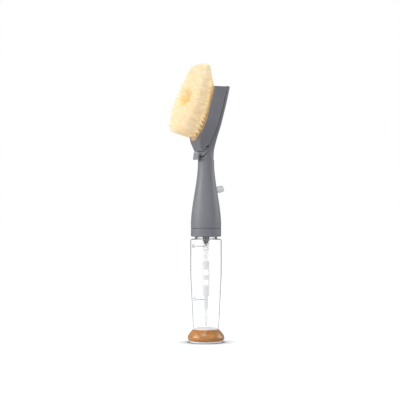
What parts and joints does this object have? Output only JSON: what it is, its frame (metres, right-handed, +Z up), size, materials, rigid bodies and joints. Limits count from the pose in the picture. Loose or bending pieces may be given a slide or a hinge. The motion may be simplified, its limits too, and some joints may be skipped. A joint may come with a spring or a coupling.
{
  "type": "dish wand",
  "caption": "Soap-dispensing dish wand: clear screw-on reservoir on a turned wooden foot, flared handle with a side pump button, and a slide-off brush head with fanned bristles.",
  "frame": {"origin": "centre of the foot pad's underside", "axes": "+Z up along the reservoir's axis, -X the side the bristles face, +X the side of the pump button"},
  "size_m": [0.056, 0.0469, 0.2759],
  "materials": {
    "grey_plastic": "fine satin moulded",
    "lever_plastic": "fine satin moulded",
    "clear_plastic": "clear polished",
    "frosted_plastic": "translucent satin",
    "white_plastic": "smooth",
    "bamboo": "varnished bamboo",
    "white_silicone": "satin silicone",
    "dark_rubber": "seal rubber",
    "spring_steel": "bright wire",
    "bristle": "cream filament",
    "valve_ball": "polished ball"
  },
  "bodies": {
    "reservoir_unit": {"foot_pad": "white_silicone", "bamboo_base": "bamboo", "seat_disc": "white_silicone", "reservoir": "clear_plastic"},
    "neck_seal": {"neck_gasket": "white_silicone"},
    "handle_unit": {"handle": "grey_plastic", "collar": "grey_plastic", "port_seal": "dark_rubber", "pump_flange": "grey_plastic", "air_vent": "white_silicone", "valve_housing": "frosted_plastic", "inlet_spring": "spring_steel", "lower_barrel": "frosted_plastic", "sight_sleeve": "clear_plastic", "dip_tube": "clear_plastic", "riser_tube": "white_silicone", "pump_cylinder": "white_plastic", "return_spring": "spring_steel", "button_bush": "grey_plastic", "outlet_body": "white_plastic", "delivery_tube": "white_silicone", "lever_pin": "spring_steel", "lever_spring": "spring_steel"},
    "inlet_valve_ball": {"inlet_ball": "valve_ball"},
    "foot_valve_ball": {"foot_ball": "valve_ball"},
    "outlet_valve_ball": {"outlet_ball": "valve_ball"},
    "button_unit": {"button": "frosted_plastic", "plunger_seal": "dark_rubber"},
    "lever_unit": {"release_lever": "lever_plastic"},
    "brush_unit": {"brush_block": "grey_plastic", "outer_bristles": "bristle", "inner_bristles": "bristle", "soap_nozzle": "white_plastic"}
  },
  "joints": [
    {"name": "handle_lift", "type": "slide", "parent": "reservoir_unit", "child": "neck_seal", "axis": [0, 0, 1], "range_m": [0, 0.006]},
    {"name": "handle_unscrew", "type": "hinge", "parent": "neck_seal", "child": "handle_unit", "pos_m": [0, 0, 0.11], "axis": [0, 0, 1], "range_deg": [0, 540]},
    {"name": "inlet_ball_lift", "type": "slide", "parent": "handle_unit", "child": "inlet_valve_ball", "axis": [0, 0, 1], "range_m": [0, 0.0012], "deforming": ["inlet_spring"]},
    {"name": "foot_ball_lift", "type": "slide", "parent": "handle_unit", "child": "foot_valve_ball", "axis": [0, 0, 1], "range_m": [0, 0.0012]},
    {"name": "outlet_ball_lift", "type": "slide", "parent": "handle_unit", "child": "outlet_valve_ball", "axis": [0, 0, 1], "range_m": [0, 0.001]},
    {"name": "button_press", "type": "slide", "parent": "handle_unit", "child": "button_unit", "axis": [-0.9816, 0, -0.1908], "range_m": [0, 0.0045], "stiffness_N_per_m": 300, "springref_m": -0.004, "deforming": ["return_spring"]},
    {"name": "lever_press", "type": "hinge", "parent": "handle_unit", "child": "lever_unit", "pos_m": [-0.0034, 0, 0.1924], "axis": [0, -1, 0], "range_deg": [0, 8], "stiffness_Nm_per_rad": 0.02, "springref_deg": -14.32},
    {"name": "brush_slide", "type": "slide", "parent": "handle_unit", "child": "brush_unit", "axis": [0.2756, 0, 0.9613], "range_m": [0, 0.05]}
  ],
  "couplings": [
    {"joint": "handle_unscrew", "follows": "handle_lift", "rad_per_m": 1570.8}
  ]
}
